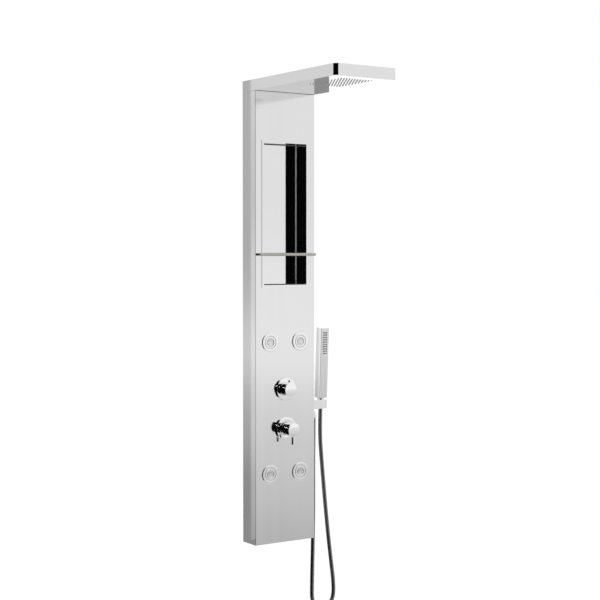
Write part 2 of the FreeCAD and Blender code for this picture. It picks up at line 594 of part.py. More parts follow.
# ------------------------------------------------------------------ rain head and pipes
def rain_head():
    """Underside plate with its nozzle holes, the rubber nozzle mat on it and the water chamber above."""
    wide = "nozzle_step*(nozzle_columns - 1)"
    long = "nozzle_line*(nozzle_lines - 1)"
    left, near = "(-%s/2)" % wide, "(-rain_centre - %s/2)" % long
    even = ((wide, "nozzle_columns"), (long, "(nozzle_lines + 1)/2"))
    odd = ((wide + " - nozzle_step", "nozzle_columns - 1"), (long + " - 2*nozzle_line", "(nozzle_lines - 1)/2"))
    lines = (("even", left, near, even),
             ("odd", left + " + nozzle_step/2", near + " + nozzle_line", odd))
    slack = "(%s - play)" % INNER_X

    plate = doc.addObject("PartDesign::Body", "arm_underside_plate")
    flat = sketch(plate, "XY_Plane", "underside_outline")
    rectangle(flat, ("-" + slack, slack), (ARM_END + " + fascia_deep", "gauge - column_depth"))
    pad(plate, flat, "underside_pad", "gauge")
    place(plate, "0", "0", ARM_LOW)
    for kind, x, y, steps in lines:
        first = sketch(plate, "XY_Plane", "underside_hole_outline_" + kind, "gauge")
        circle(first, x, y, "nozzle_radius + 0.1")
        hole = pocket(plate, first, "underside_hole_" + kind, "2*gauge")
        grid(plate, hole, "underside_holes_" + kind, "X_Axis", "Y_Axis", steps)
    node("arm_underside_plate", plate)

    mat = doc.addObject("PartDesign::Body", "nozzle_mat")
    margin = "(%s/2 + mat_margin)" % wide
    side = "(%s/2 + mat_margin)" % long
    flat = sketch(mat, "XY_Plane", "mat_outline", "gauge")
    rectangle(flat, ("-" + margin, margin), ("-rain_centre - " + side, "-rain_centre + " + side))
    pad(mat, flat, "mat_pad", "mat_thick")
    place(mat, "0", "0", ARM_LOW)
    for kind, x, y, steps in lines:
        outer = sketch(mat, "XY_Plane", "mat_tip_outline_" + kind, "-nozzle_drop")
        circle(outer, x, y, "nozzle_radius")
        tip = pad(mat, outer, "mat_tip_" + kind, "gauge + nozzle_drop + mat_thick/2")
        grid(mat, tip, "mat_tips_" + kind, "X_Axis", "Y_Axis", steps)
    node("nozzle_mat", mat)

    floor, roof = ARM_LOW + " + gauge + mat_thick", ARM_LOW + " + gauge + mat_thick + chamber_high"
    outer = box("chamber_outer", ("-%s - 3" % margin, margin + " + 3"),
                ("-rain_centre - %s - 3" % side, "-rain_centre + %s + 3" % side), (floor, roof))
    room = box("chamber_room", ("chamber_wall - " + margin, margin + " - chamber_wall"),
               ("-rain_centre - %s + chamber_wall" % side, "-rain_centre + %s - chamber_wall" % side),
               (floor + " - 1", roof + " - chamber_wall"))
    level = "(%s + gauge + mat_thick + chamber_high/2)" % ARM_LOW
    rear = "(-rain_centre + %s + 3)" % side
    inlet = rod("chamber_inlet", "y", "0", (rear + " - 1", rear + " + 12"), level, "pipe_radius + 3")
    way = rod("chamber_way", "y", "0", (rear + " - 8", rear + " + 13"), level, "pipe_bore")
    node("rain_chamber", cut("rain_chamber", fuse("chamber_outside", outer, inlet), room, way))

    studs = [rod("chamber_stud_%d" % step, "z", x, y, (floor + " - mat_thick", floor + " + 12"), "2.5")
             for step, (x, y) in enumerate((a, b) for a in ("-%s - 8" % margin, margin + " + 8")
                                           for b in ("-rain_centre - 70", "-rain_centre + 70"))]
    straps = [box("chamber_strap_%s" % side_name, ("-%s - 12" % margin, margin + " + 12"),
                  ("-rain_centre %s - 6" % shift, "-rain_centre %s + 6" % shift), (roof, roof + " + 2"))
              for side_name, shift in (("front", "- 70"), ("rear", "+ 70"))]
    node("chamber_clamps", group("chamber_clamps", studs + straps))
    node("rain_pipe", piping("rain_pipe", [[
        ("-15", "-riser_back", DIVERTER_Z + " + valve_half + 8"), ("-15", "-riser_back", DIVERTER_Z + " + valve_half + 26"),
        ("-riser_at", "-riser_back", DIVERTER_Z + " + valve_half + 26"), ("-riser_at", "-riser_back", level),
        ("-riser_at", "-180", level), ("0", "-180", level), ("0", rear + " + 12", level)]]))


def pipes():
    """Copper pipes from the valves to the jets and to the hand shower's outlet."""
    mid = "-manifold_back"
    stub = "(jet_length + 8 - column_depth)"
    start = DIVERTER_Z + " + valve_half + 8"
    node("mixer_pipe", piping("mixer_pipe", [[("0", mid, MIXER_Z + " + valve_half + 12"),
                                              ("0", mid, DIVERTER_Z + " - valve_half - 10")]]))
    node("upper_jet_pipe", piping("upper_jet_pipe", [
        [("jet_across/2", stub, JET_TOP_Z), ("jet_across/2", mid, JET_TOP_Z), ("-jet_across/2", mid, JET_TOP_Z),
         ("-jet_across/2", stub, JET_TOP_Z)], [("15", mid, start), ("15", mid, JET_TOP_Z)]]))
    side, back, fore, low_z = "-jet_across/2 - 35", "-riser_back", "-riser_back - 32", JET_LOW_Z
    node("lower_jet_pipe", piping("lower_jet_pipe", [
        [("jet_across/2", stub, low_z), ("jet_across/2", back, low_z), ("-jet_across/2", back, low_z),
         ("-jet_across/2", stub, low_z)],
        [("-jet_across/2", back, low_z), (side, back, low_z), (side, fore, low_z), (side, fore, DIVERTER_Z),
         (side, back, DIVERTER_Z), ("-valve_half - 8", back, DIVERTER_Z)]]))
    node("hand_pipe", piping("hand_pipe", [[
        ("valve_half + 8", "-outlet_back", DIVERTER_Z), ("80", "-outlet_back", DIVERTER_Z),
        ("80", "-outlet_back", "outlet_up - column_height/2"),
        ("95", "-outlet_back", "outlet_up - column_height/2")]]))


# ------------------------------------------------------------------ hand shower
LEAN = math.radians(SIZES["grip_lean"])
UP = Vector(0, -math.sin(LEAN), math.cos(LEAN))


def leaning(item, along="0"):
    """Stand a piece, made about its own Z axis, on the hand shower's leaning axis."""
    lean = Rotation(Vector(1, 0, 0), SIZES["grip_lean"])
    item.Placement = Placement(Vector(), lean)
    place(item, "column_width/2 + grip_reach", "-grip_back - (%s)*sin(grip_lean)" % along,
          "holder_high - column_height/2 + (%s)*cos(grip_lean)" % along)
    return item


def cone(name, low, high, low_radius, high_radius):
    item = doc.addObject("Part::Cone", name)
    bind(item, "Height", "(%s) - (%s)" % (high, low))
    bind(item, "Radius1", low_radius)
    bind(item, "Radius2", high_radius)
    return leaning(item, low)


def outlet_and_holder():
    """The elbow that feeds the hose, its nut, and the bracket that the hand shower's cone drops into."""
    x, y, z = "(column_width/2 + outlet_reach)", "-outlet_back", "(outlet_up - column_height/2)"
    leg = rod("elbow_leg", "x", ("95", x), y, z, "outlet_radius")
    knee = ball("elbow_knee", x, y, z, "outlet_radius + 0.5")
    down = rod("elbow_down", "z", x, y, (z + " - 10", z), "outlet_radius + 0.5")
    collar = rod("elbow_collar", "x", ("column_width/2", "column_width/2 + 3"), y, z, "outlet_radius + 3.5")
    water = [rod("elbow_way", "x", ("94", x), y, z, "pipe_bore"),
             rod("elbow_drop", "z", x, y, (z + " - 11", z), "pipe_bore")]
    node("outlet_elbow", cut("outlet_elbow", fuse("elbow_outside", leg, knee, down, collar), *water))
    nut = rod("outlet_nut_ring", "x", ("%s - 6" % INNER_X, INNER_X), y, z, "outlet_radius + 5")
    ring = rod("outlet_nut_bore", "x", ("%s - 7" % INNER_X, INNER_X + " + 1"), y, z, "outlet_radius")
    node("outlet_nut", cut("outlet_nut", nut, ring))
    node("hose_nut_outlet", rod("hose_nut_outlet", "z", x, y, (z + " - 18", z + " - 10"), "hose_nut_radius"))

    span = ("column_width/2", "column_width/2 + holder_reach")
    low, high = "(holder_low - column_height/2)", "(holder_high - column_height/2)"
    block = rounded("holder_block", box("holder_bar", span, ("-holder_front", "-holder_back"), (low, high)),
                    1.5, lambda edge: edge.CenterOfMass.x > number(span[0]) + 1)
    seat = cone("holder_seat", "-cone_down - 4", "4", "cone_low + 0.15", "cone_top + 0.6")
    slot = box("holder_slot", ("column_width/2 + grip_reach", span[1] + " + 1"),
               ("-grip_back - 7.6", "-grip_back + 7.6"), (low + " - 1", high + " + 1"))
    bores = [rod("holder_bore_" + side, "x", (span[0], span[0] + " + 14"), "-grip_back %s" % shift,
                 "(holder_low + holder_high)/2 - column_height/2", "1.9")
             for side, shift in (("front", "- 9"), ("rear", "+ 9"))]
    node("handset_holder", cut("handset_holder", block, seat, slot, *bores))
    screws = []
    for side, shift in (("front", "- 9"), ("rear", "+ 9")):
        spot = "-grip_back %s" % shift
        level = "(holder_low + holder_high)/2 - column_height/2"
        shank = rod("holder_screw_shank_" + side, "x", (INNER_X, span[0] + " + 14"), spot, level, "1.9")
        head = rod("holder_screw_head_" + side, "x", (INNER_X + " - 2.5", INNER_X), spot, level, "3.8")
        screws.append(fuse("holder_screw_" + side, shank, head))
    return screws


def hand_shower():
    """Square hand shower: hollow body, spray face with its nozzles, and the cone nut of the hose."""
    half_x, half_y = "grip_wide/2", "grip_deep/2"
    base, tip = "grip_gap", "(grip_gap + grip_long)"
    body = doc.addObject("PartDesign::Body", "handset_body")
    section = sketch(body, "XY_Plane", "grip_section", base)
    rectangle(section, ("-" + half_x, half_x), ("-" + half_y, half_y))
    bar = pad(body, section, "grip_pad", "grip_long")
    soft = body.newObject("PartDesign::Fillet", "grip_edges")
    soft.Base = (bar, ["Edge%d" % index for index in range(1, len(bar.Shape.Edges) + 1)])
    bind(soft, "Radius", "grip_round")
    doc.recompute()
    face = sketch(body, "XZ_Plane", "spray_window", half_y)
    spray = ("%s - spray_down - spray_long" % tip, "%s - spray_down" % tip)
    rectangle(face, ("-spray_wide/2", "spray_wide/2"), spray)
    pocket(body, face, "spray_recess", "1.6")
    inside = sketch(body, "XY_Plane", "grip_bore_section", tip + " - grip_wall - 4")
    rectangle(inside, ("grip_wall + 1 - " + half_x, half_x + " - grip_wall - 1"),
              ("4.5 - " + half_y, half_y + " - grip_wall - 1"))
    pocket(body, inside, "grip_bore", "grip_long - 2*grip_wall - 8")
    mouth = sketch(body, "XY_Plane", "grip_mouth_section", base + " + 12")
    circle(mouth, "0", "0", "6")
    pocket(body, mouth, "grip_mouth", "14")
    leaning(body)
    node("handset_body", body)

    plate = doc.addObject("PartDesign::Body", "handset_spray_face")
    flat = sketch(plate, "XZ_Plane", "spray_face_outline", half_y + " - 1.6")
    rectangle(flat, ("0.1 - spray_wide/2", "spray_wide/2 - 0.1"), (spray[0] + " + 0.1", spray[1] + " - 0.1"))
    pad(plate, flat, "spray_face_pad", "1.2")
    leaning(plate)
    node("handset_spray_face", plate)

    tips = doc.addObject("PartDesign::Body", "handset_nozzles")
    dots = sketch(tips, "XZ_Plane", "handset_tip_outline", half_y + " - 0.4")
    rows_high = "spray_pitch*(spray_rows - 1)"
    circle(dots, "-6", "(%s) - spray_down - spray_long/2 - %s/2" % (tip, rows_high), "1.6")
    grid(tips, pad(tips, dots, "handset_tip", "0.9"), "handset_tips", "X_Axis", "Z_Axis",
         (("12", "3"), (rows_high, "spray_rows")))
    leaning(tips)
    node("handset_nozzles", tips)

    nut = fuse("hose_cone", cone("hose_cone_low", "-cone_down", "0", "cone_low", "cone_top"),
               cone("hose_cone_high", "0", "grip_gap", "cone_top", "cone_top - 0.3"))
    node("hose_nut_handset", nut)


# ------------------------------------------------------------------ hose
HOSE_ROUTE = [  # x, y and height above the column's lower edge
    (137, -40, 394), (137, -40, 342), (135.8, -39.6, 252), (136.2, -40.1, 122), (134.6, -39.7, -16),
    (132.4, -39.8, -98), (131.2, -39.3, -166), (131, -39, -224.5), (158.5, -37, -252), (197.5, -34, -252),
    (225, -31, -224.5), (225.4, -30, -168), (214.5, -30.5, -95), (201.2, -31, 5), (188, -31.6, 120),
    (174, -33.2, 252), (165, -35.24, 345.1), (165, -39.53, 426.9),
]


def hose():
    """Free hose from the outlet's nut to the hand shower's cone: straight runs joined by tangent arcs."""
    drop = number("column_height/2")
    points = [Vector(x, y, z - drop) for x, y, z in HOSE_ROUTE]
    runs = [(after - before).Length for before, after in zip(points, points[1:])]
    edges, radii, start = [], [], points[0]
    for before, corner, after, run_in, run_out in zip(points, points[1:], points[2:], runs, runs[1:]):
        incoming, outgoing = (corner - before).normalize(), (after - corner).normalize()
        half_turn = incoming.getAngle(outgoing) / 2
        trim = 0.45 * min(run_in, run_out)
        radii.append(trim / math.tan(half_turn))
        enter, leave = corner - incoming * trim, corner + outgoing * trim
        inward = (outgoing - incoming).normalize()
        middle = corner + inward * (radii[-1] / math.cos(half_turn) - radii[-1])
        edges += [Part.LineSegment(start, enter).toShape(), Part.Arc(enter, middle, leave).toShape()]
        start = leave
    edges.append(Part.LineSegment(start, points[-1]).toShape())
    path = Part.Wire(edges)
    radius = number("hose_radius")
    ring = Part.Wire(Part.makeCircle(radius, points[0], points[1] - points[0]))
    tube = path.makePipeShell([ring], True, True)
    print("hose: volume / (section x length) = %.4f" % (tube.Volume / (math.pi * radius ** 2 * path.Length)))
    print("hose length %.1f, bend radii" % path.Length, [round(value) for value in radii])
    item = doc.addObject("Part::Feature", "hose")
    item.Shape = tube
    node("hose", item)


# ------------------------------------------------------------------ build, check and write
def check_and_write():
    doc.recompute()
    for item in doc.Objects:
        if "Invalid" in item.State or "Error" in item.State:
            raise ValueError("%s is %s" % (item.Name, item.State))
    for name, item in NODES.items():
        shape = item.Shape
        if shape.isNull() or not shape.isValid() or shape.Volume <= 0:
            raise ValueError(name + " has no valid shape")
    os.makedirs("parts", exist_ok=True)
    for name, item in NODES.items():
        item.Shape.exportStep("parts/%s.step" % name)
    print("%d sub-parts written" % len(NODES))


column_shell()
sheet_covers()
rail_fixings = niche()
frame()
jets()
diverter()
mixer()
rain_head()
pipes()
node("fixing_screws", group("fixing_screws", rail_fixings + outlet_and_holder()))
hand_shower()
hose()
check_and_write()
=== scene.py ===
"""Looks of the rainfall shower column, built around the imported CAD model. All lengths are in metres.
"""
import math

import bmesh
import bpy
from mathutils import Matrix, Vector


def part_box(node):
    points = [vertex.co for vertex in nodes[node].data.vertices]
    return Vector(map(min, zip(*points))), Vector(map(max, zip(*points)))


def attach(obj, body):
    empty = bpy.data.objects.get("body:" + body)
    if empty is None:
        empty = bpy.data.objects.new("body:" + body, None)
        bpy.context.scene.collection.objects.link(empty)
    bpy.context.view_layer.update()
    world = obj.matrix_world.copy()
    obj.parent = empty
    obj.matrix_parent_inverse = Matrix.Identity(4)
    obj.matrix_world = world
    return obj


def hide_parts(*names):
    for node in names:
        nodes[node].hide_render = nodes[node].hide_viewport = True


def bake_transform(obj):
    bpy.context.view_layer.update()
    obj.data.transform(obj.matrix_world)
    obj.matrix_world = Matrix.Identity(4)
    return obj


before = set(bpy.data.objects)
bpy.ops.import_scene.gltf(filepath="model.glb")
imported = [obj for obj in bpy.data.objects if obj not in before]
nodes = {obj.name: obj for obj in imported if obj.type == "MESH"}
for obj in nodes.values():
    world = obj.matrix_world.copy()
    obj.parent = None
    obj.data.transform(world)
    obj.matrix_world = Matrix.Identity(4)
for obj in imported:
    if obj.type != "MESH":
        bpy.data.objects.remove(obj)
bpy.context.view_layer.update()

OUT = Vector((0, -1, 0))
UP = Vector((0, 0, 1))
RIGHT = Vector((1, 0, 0))
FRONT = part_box("column_front")[0].y
TINY = 1e-5


def heading(azimuth, elevation=0):
    """Unit vector: azimuth 0 looks along +Y and 90 along +X, in degrees."""
    a, e = math.radians(azimuth), math.radians(elevation)
    return Vector((math.sin(a) * math.cos(e), math.cos(a) * math.cos(e), math.sin(e)))


# ------------------------------------------------------------------ camera
CAMERA_PLACE = (-2.421, -3.814, 0.187)
CAMERA_AZIMUTH = 33.56
CAMERA_DIP = 1.87
CAMERA_LENS = 82.1
SENSOR_WIDTH = 36


def add_camera():
    data = bpy.data.cameras.new("camera")
    data.lens = CAMERA_LENS
    data.sensor_width = SENSOR_WIDTH
    camera = bpy.data.objects.new("camera", data)
    camera.location = CAMERA_PLACE
    camera.rotation_euler = (math.radians(90 - CAMERA_DIP), 0, math.radians(-CAMERA_AZIMUTH))
    bpy.context.scene.collection.objects.link(camera)
    bpy.context.scene.camera = camera


add_camera()


# ------------------------------------------------------------------ node graphs and materials
class Graph:
    """A short way to add nodes: inputs are sockets to link or values to set."""

    def __init__(self, tree):
        self.tree = tree
        tree.nodes.clear()

    def add(self, kind, inputs=None, **settings):
        made = self.tree.nodes.new(kind)
        for name, value in settings.items():
            setattr(made, name, value)
        for name, value in (inputs or {}).items():
            if isinstance(value, bpy.types.NodeSocket):
                self.tree.links.new(value, made.inputs[name])
            else:
                made.inputs[name].default_value = value
        return made

    def math(self, operation, *values):
        return self.add("ShaderNodeMath", dict(enumerate(values)), operation=operation).outputs[0]

    def range(self, value, low, high, start=0.0, end=1.0, smooth=True):
        return self.add("ShaderNodeMapRange", {"Value": value, "From Min": low, "From Max": high,
                                               "To Min": start, "To Max": end},
                        interpolation_type="SMOOTHSTEP" if smooth else "LINEAR").outputs[0]

    def mix(self, share, first, second):
        return self.add("ShaderNodeMix", {0: share, 2: first, 3: second}, data_type="FLOAT").outputs[0]

    def dot(self, vector, axis):
        return self.add("ShaderNodeVectorMath", {0: vector, 1: axis}, operation="DOT_PRODUCT").outputs["Value"]

    def ramp(self, value, stops, interpolation="EASE"):
        made = self.add("ShaderNodeValToRGB", {"Fac": value})
        made.color_ramp.interpolation = interpolation
        elements = made.color_ramp.elements
        while len(elements) < len(stops):
            elements.new(0.5)
        for element, (place, shade) in zip(elements, stops):
            element.position = place
            element.color = shade if isinstance(shade, tuple) else (shade, shade, shade, 1)
        return made.outputs["Color"]


GRAIN_SHARE, CLOUD_SHARE = 0.6, 0.4
CLOUD_SCALE = 0.3
SPOT_SHARE = 0.5
NOISE_LOW, NOISE_HIGH = 0.3, 0.7
BUMP_SCALE = 6
BUMP_DEEP = 0.0004


def finish_of(name, colour, metallic, roughness, spread, tint, scale, stretch=(1, 1, 1), bump=0.0,
              bump_scale=None, spots=None):
    """Procedural finish: a colour that wanders by tint, a roughness that wanders by spread, and a fine bump.

    stretch scales the object's axes, so a small number along one axis draws the grain out along it. spots is the
    scale of a coarse crystal pattern, such as zinc has.
    """
    made = bpy.data.materials.new(name)
    made.use_nodes = True
    graph = Graph(made.node_tree)
    place = graph.add("ShaderNodeTexCoord").outputs["Object"]
    grain_place = graph.add("ShaderNodeMapping", {"Vector": place, "Scale": stretch}).outputs[0]
    clouds = graph.add("ShaderNodeTexNoise", {"Vector": place, "Scale": scale * CLOUD_SCALE,
                                              "Detail": 3}).outputs[0]
    grain = graph.add("ShaderNodeTexNoise", {"Vector": grain_place, "Scale": scale, "Detail": 4,
                                             "Roughness": 0.6}).outputs[0]
    mixed = graph.math("ADD", graph.math("MULTIPLY", grain, GRAIN_SHARE),
                       graph.math("MULTIPLY", clouds, CLOUD_SHARE))
    if spots:
        cells = graph.add("ShaderNodeTexVoronoi", {"Vector": place, "Scale": spots}).outputs["Color"]
        mixed = graph.math("ADD", graph.math("MULTIPLY", mixed, 1 - SPOT_SHARE),
                           graph.math("MULTIPLY", cells, SPOT_SHARE))
    dark = tuple(channel * (1 - tint) for channel in colour) + (1,)
    light = tuple(min(1, channel * (1 + tint)) for channel in colour) + (1,)
    values = {
        "Base Color": graph.ramp(mixed, ((NOISE_LOW, dark), (NOISE_HIGH, light)), "LINEAR"),
        "Metallic": metallic,
        "Roughness": graph.range(mixed, NOISE_LOW, NOISE_HIGH, roughness - spread, roughness + spread,
                                 smooth=False),
    }
    if bump:
        fine = graph.add("ShaderNodeTexNoise", {"Vector": grain_place, "Scale": bump_scale or scale * BUMP_SCALE,
                                                "Detail": 2}).outputs[0]
        values["Normal"] = graph.add("ShaderNodeBump", {"Height": fine, "Strength": bump,
                                                        "Distance": BUMP_DEEP}).outputs[0]
    shader = graph.add("ShaderNodeBsdfPrincipled", values)
    graph.add("ShaderNodeOutputMaterial", {"Surface": shader.outputs[0]})
    return made


def brushed(name, stretch, roughness):
    return finish_of(name, (0.80, 0.80, 0.80), 1.0, roughness, spread=0.03, tint=0.02, scale=30, stretch=stretch,
                     bump=0.035, bump_scale=1400)


FINISH = {
    "steel_up": brushed("steel_up", (1, 1, 0.012), 0.085),
    "steel_along": brushed("steel_along", (1, 0.012, 1), 0.13),
    "fascia": finish_of("fascia", (0.80, 0.80, 0.80), 1.0, 0.022, spread=0.006, tint=0.02, scale=30,
                        stretch=(0.012, 1, 1)),
    "mirror": finish_of("mirror", (0.81, 0.81, 0.81), 1.0, 0.045, spread=0.015, tint=0.015, scale=25),
    "underside": finish_of("underside", (0.87, 0.87, 0.87), 1.0, 0.06, spread=0.015, tint=0.015, scale=25),
    "chrome": finish_of("chrome", (0.89, 0.89, 0.90), 1.0, 0.035, spread=0.012, tint=0.012, scale=60),
    "chrome_soft": finish_of("chrome_soft", (0.86, 0.86, 0.86), 1.0, 0.09, spread=0.02, tint=0.015, scale=60),
    "grip_chrome": finish_of("grip_chrome", (0.90, 0.90, 0.90), 1.0, 0.07, spread=0.02, tint=0.012, scale=60),
    "weld": finish_of("weld", (0.80, 0.80, 0.79), 0.4, 0.42, spread=0.06, tint=0.06, scale=300, bump=0.1),
    "hose": finish_of("hose", (0.20, 0.20, 0.206), 1.0, 0.24, spread=0.05, tint=0.08, scale=150),
    "rail": finish_of("rail", (0.46, 0.448, 0.422), 1.0, 0.14, spread=0.03, tint=0.03, scale=60,
                      stretch=(0.02, 1, 1), bump=0.03),
    "zinc": finish_of("zinc", (0.62, 0.63, 0.64), 1.0, 0.42, spread=0.08, tint=0.12, scale=90, spots=220),
    "brass": finish_of("brass", (0.74, 0.58, 0.30), 1.0, 0.34, spread=0.08, tint=0.12, scale=70, bump=0.08),
    "copper": finish_of("copper", (0.76, 0.43, 0.29), 1.0, 0.30, spread=0.08, tint=0.16, scale=50, bump=0.04),
    "valve_plastic": finish_of("valve_plastic", (0.78, 0.78, 0.76), 0.0, 0.5, spread=0.05, tint=0.03, scale=120,
                               bump=0.06),
    "grey_plastic": finish_of("grey_plastic", (0.90, 0.90, 0.905), 0.0, 0.32, spread=0.04, tint=0.04, scale=160,
                              bump=0.04),
    "ball_face": finish_of("ball_face", (0.80, 0.80, 0.81), 1.0, 0.10, spread=0.02, tint=0.02, scale=120),
    "rubber": finish_of("rubber", (0.34, 0.345, 0.35), 0.0, 0.55, spread=0.06, tint=0.06, scale=260, bump=0.08),
    "dark_rubber": finish_of("dark_rubber", (0.09, 0.09, 0.093), 0.0, 0.5, spread=0.06, tint=0.05, scale=260,
                             bump=0.08),
    # Dark finish of the strips that paint shade: the seam under the arm and the niche's top and bottom back
    # corners.
    "shade_strip": finish_of("shade_strip", (0.10, 0.10, 0.10), 0.0, 0.45, spread=0.05, tint=0.1, scale=260, bump=0.08),
    "black": finish_of("black", (0.012, 0.012, 0.013), 0.0, 0.22, spread=0.03, tint=0.2, scale=200),
}


# ------------------------------------------------------------------ mesh helpers
def add_piece(name, points, faces, finish, body, slot, stands_for=(), sharp=32):
    """A mesh object with a finish; edges bent by more than sharp degrees stay crisp.
    """
    mesh = bpy.data.meshes.new(name)
    mesh.from_pydata([tuple(point) for point in points], [], faces)
    shell = bmesh.new()
    shell.from_mesh(mesh)
    bmesh.ops.recalc_face_normals(shell, faces=shell.faces)
    shell.to_mesh(mesh)
    shell.free()
    mesh.polygons.foreach_set("use_smooth", [True] * len(mesh.polygons))
    mesh.set_sharp_from_angle(angle=math.radians(sharp))
    mesh.materials.append(FINISH[finish])
    made = bpy.data.objects.new(name, mesh)
    bpy.context.scene.collection.objects.link(made)
    if body:
        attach(made, body)
    if stands_for:
        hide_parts(*stands_for)
    return made


def bands(rows, count):
    """Quads between rows of count points each; the last point of a row meets its first."""
    faces = []
    for row in range(rows - 1):
        for step in range(count):
            a, b = row * count + step, row * count + (step + 1) % count
            faces.append((a, b, b + count, a + count))
    return faces


def ends(rows, count):
    """The faces that close the first and the last of those rows."""
    return [tuple(range(count - 1, -1, -1)), tuple(range((rows - 1) * count, rows * count))]


def turn(count):
    """Angles that divide a full turn."""
    return [2 * math.pi * step / count for step in range(count)]


SLIGHT_BEND = 0.15
RUN_SHARE = 0.45


def eased(profile, radius, steps=4):
    """The profile with each inner corner turned into an arc of that radius, or less where its runs are short."""
    path = [Vector(point) for point in profile]
    out = [path[0]]
    for before, corner, after in zip(path, path[1:], path[2:]):
        run_in, run_out = corner - before, after - corner
        bend = run_in.angle(run_out) if run_in.length and run_out.length else 0
        if bend < SLIGHT_BEND:
            out.append(corner)
            continue
        trim = min(radius * math.tan(bend / 2), RUN_SHARE * run_in.length, RUN_SHARE * run_out.length)
        start, end = corner - run_in.normalized() * trim, corner + run_out.normalized() * trim
        for step in range(steps + 1):
            t = step / steps
            out.append(start * (1 - t) ** 2 + corner * 2 * t * (1 - t) + end * t ** 2)
    out.append(path[-1])
    return out


def basis(axis):
    """Two unit vectors square to axis and to each other."""
    side = UP.cross(axis) if abs(axis.dot(UP)) < 0.9 else RIGHT.cross(axis)
    side.normalize()
    return side, axis.cross(side)


def revolve(profile, origin, axis, count=72, shape=None):
    """Points and faces of a profile of (radius, distance along axis) turned about axis.

    shape(angle, radius, distance) may change the radius, such as for flats or flutes.
    """
    side, other = basis(axis)
    points = []
    for radius, along in profile:
        for angle in turn(count):
            reach = shape(angle, radius, along) if shape else radius
            points.append(origin + axis * along + (side * math.cos(angle) + other * math.sin(angle)) * reach)
    return points, bands(len(profile), count)


def turned(name, profile, origin, finish, body, slot, stands_for=(), axis=OUT, ease=0.0006, count=72, shape=None):
    """A piece turned about axis from a profile with eased corners."""
    points, faces = revolve(eased(profile, ease), origin, axis, count, shape)
    return add_piece(name, points, faces, finish, body, slot, stands_for)


def ball_arc(radius, centre, start, end, steps):
    """Profile points on a ball, from one angle off its axis to another."""
    angles = [start + (end - start) * step / steps for step in range(steps + 1)]
    return [(radius * math.sin(angle), centre + radius * math.cos(angle)) for angle in angles]


def joined(parts):
    """One point list and face list from several."""
    points, faces = [], []
    for some_points, some_faces in parts:
        faces += [tuple(index + len(points) for index in face) for face in some_faces]
        points += some_points
    return points, faces


def rubber_tip(origin, axis, radius, high, count=12):
    """Points and faces of one soft nozzle: a tapered stub with a dimple in its end."""
    profile = [(radius, -0.0006), (radius * 0.92, high * 0.7), (radius * 0.78, high), (radius * 0.42, high),
               (radius * 0.36, high * 0.55), (TINY, high * 0.5)]
    return revolve(profile, origin, axis, count)


def quarter_round(name, start, along, length, sides, radius, finish, slot, steps=6):
    """A bead that fills the corner between two faces; sides are the faces' directions away from the corner."""
    first, second = sides
    bite = 0.0002
    section = [-(first + second) * bite]
    for step in range(steps + 1):
        angle = math.pi / 2 * step / steps
        section.append((first * math.cos(angle) + second * math.sin(angle)) * radius)
    count = len(section)
    points = [start + along * shift + point for shift in (-bite, length + bite) for point in section]
    add_piece(name, points, bands(2, count) + ends(2, count), finish, "root", slot)


# ------------------------------------------------------------------ hose
# The route's points are those of the CAD hose, moved a little to follow the photograph.
HOSE_ROUTE = [
    (0.137, -0.040, -0.356), (0.137, -0.040, -0.408), (0.1358, -0.0396, -0.498), (0.1362, -0.0401, -0.628),
    (0.1346, -0.0397, -0.766), (0.1324, -0.0398, -0.848), (0.1312, -0.0393, -0.916), (0.131, -0.039, -0.9745),
    (0.1585, -0.037, -1.002), (0.1975, -0.034, -1.002), (0.225, -0.031, -0.9745), (0.2254, -0.030, -0.918),
    (0.2145, -0.0305, -0.845), (0.2012, -0.031, -0.745), (0.188, -0.0316, -0.630), (0.174, -0.0332, -0.498),
    (0.165, -0.03524, -0.4049), (0.165, -0.03953, -0.3231),
]
HOSE_RADIUS = 0.007
STRIP_PITCH = 0.0042
STRIP_DEEP = 0.0009
ROWS_A_TURN = 4
HOSE_SIDES = 24


def route_line(route):
    """Points along the smooth line that has the route's points as its control points."""
    curve = bpy.data.curves.new("hose_route", "CURVE")
    curve.dimensions = "3D"
    curve.resolution_u = 24
    spline = curve.splines.new("NURBS")
    spline.points.add(len(route) - 1)
    for point, place in zip(spline.points, route):
        point.co = (*place, 1)
    spline.order_u = 3
    spline.use_endpoint_u = True
    holder = bpy.data.objects.new("hose_route", curve)
    bpy.context.scene.collection.objects.link(holder)
    bpy.context.view_layer.update()
    mesh = bpy.data.meshes.new_from_object(holder.evaluated_get(bpy.context.evaluated_depsgraph_get()))
    line = [vertex.co.copy() for vertex in mesh.vertices]
    bpy.data.objects.remove(holder)
    bpy.data.meshes.remove(mesh)
    return line


def evenly(line, step):
    """The same line with points a step apart."""
    out, left = [line[0].copy()], step
    for start, end in zip(line, line[1:]):
        run = (end - start).length
        while run >= left:
            start = start + (end - start) * (left / run)
            run -= left
            left = step
            out.append(start.copy())
        left -= run
    out.append(line[-1].copy())
    return out


def direction_at(line, row):
    return (line[min(row + 1, len(line) - 1)] - line[max(row - 1, 0)]).normalized()


def add_hose():
    """A tube wound from metal strip: a helical groove runs round it, one turn per strip."""
    line = evenly(route_line(HOSE_ROUTE), STRIP_PITCH / ROWS_A_TURN)
    side = RIGHT.copy()
    points = []
    for row, place in enumerate(line):
        ahead = direction_at(line, row)
        side = (side - ahead * side.dot(ahead)).normalized()
        other = ahead.cross(side)
        for step, angle in enumerate(turn(HOSE_SIDES)):
            phase = (row / ROWS_A_TURN - step / HOSE_SIDES) % 1
            groove = max(0, math.cos(2 * math.pi * phase)) ** 2
            reach = HOSE_RADIUS - STRIP_DEEP * groove
            points.append(place + (side * math.cos(angle) + other * math.sin(angle)) * reach)
    faces = bands(len(line), HOSE_SIDES) + ends(len(line), HOSE_SIDES)
    hose = add_piece("shower_hose", points, faces, "hose", None, "hose_skin", ["hose"], sharp=80)
    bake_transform(hose)


add_hose()


